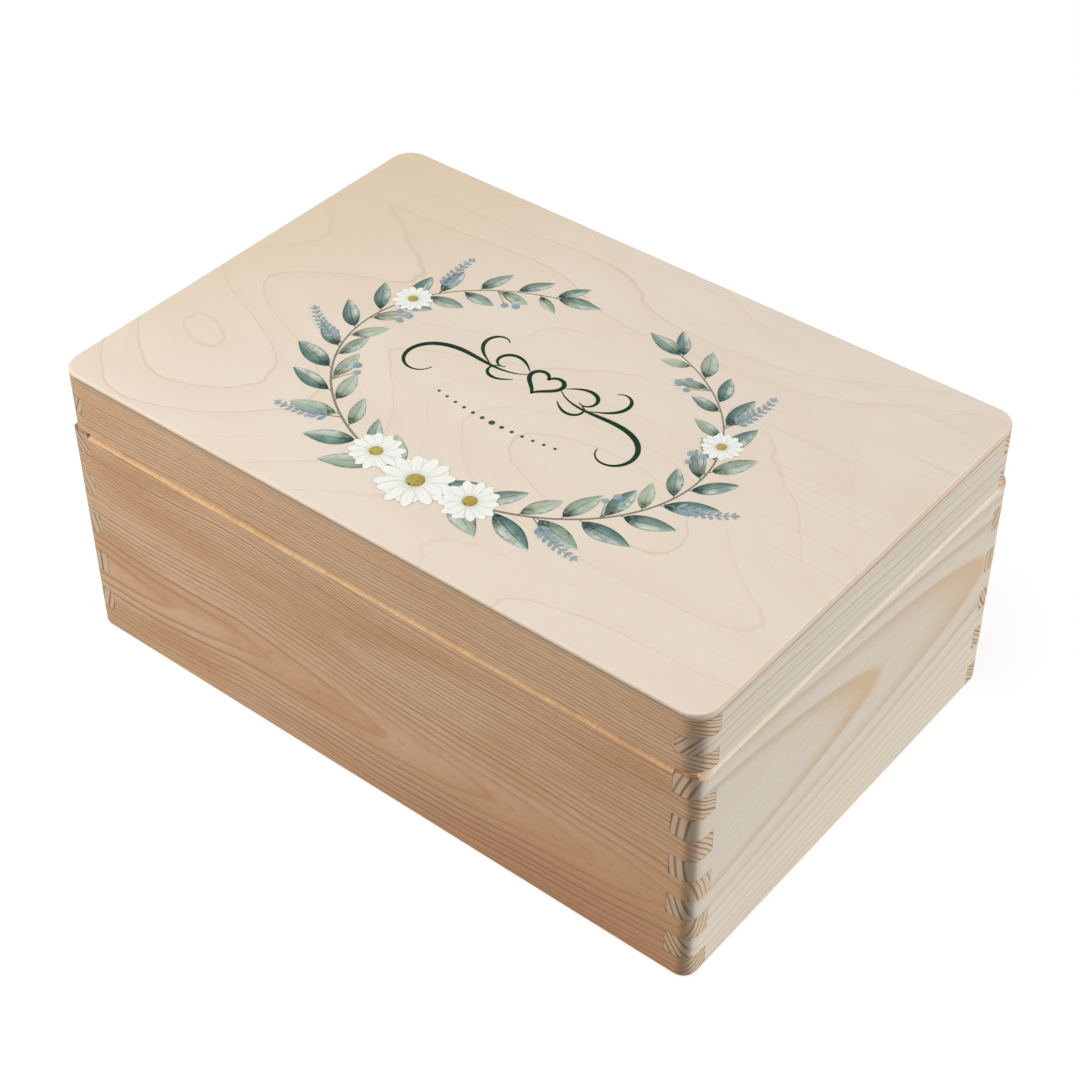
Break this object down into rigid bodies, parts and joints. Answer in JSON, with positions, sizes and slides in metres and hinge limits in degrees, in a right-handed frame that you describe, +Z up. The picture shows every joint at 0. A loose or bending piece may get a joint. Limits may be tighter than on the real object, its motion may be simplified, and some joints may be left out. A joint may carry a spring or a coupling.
{
  "type": "hinged wooden keepsake box",
  "caption": "Rectangular pine box with finger-jointed corners, a plywood base and a hinged lid topped with a plywood panel, for papers and keepsakes.",
  "frame": {"origin": "middle of the box on the table, at the bottom edge of its boards", "axes": "+Z up, +X to the right along the long side, -Y towards the front; the hinges are on the +Y side"},
  "size_m": [0.3, 0.2, 0.1313],
  "materials": {
    "pine_long": "raw sanded pine",
    "pine_short": "raw sanded pine, paler",
    "lid_plywood": "raw sanded birch plywood, printed",
    "base_plywood": "raw birch plywood",
    "hinge_plate": "satin brass plate",
    "hinge_pin": "drawn wire",
    "screws": "brass plated"
  },
  "bodies": {
    "box": {"front_board": "pine_long", "back_board": "pine_long", "left_board": "pine_short", "right_board": "pine_short", "base_panel": "base_plywood", "left_hinge_body_leaf": "hinge_plate", "right_hinge_body_leaf": "hinge_plate", "left_hinge_pin": "hinge_pin", "right_hinge_pin": "hinge_pin", "left_hinge_body_screws": "screws", "right_hinge_body_screws": "screws"},
    "lid": {"lid_front_rail": "pine_long", "lid_back_rail": "pine_long", "lid_left_rail": "pine_short", "lid_right_rail": "pine_short", "lid_panel": "lid_plywood", "left_hinge_lid_leaf": "hinge_plate", "right_hinge_lid_leaf": "hinge_plate", "left_hinge_lid_screws": "screws", "right_hinge_lid_screws": "screws"}
  },
  "joints": [
    {"name": "lid_hinge", "type": "hinge", "parent": "box", "child": "lid", "pos_m": [0, 0.0984, 0.10415], "axis": [-1, 0, 0], "range_deg": [0, 105]}
  ]
}
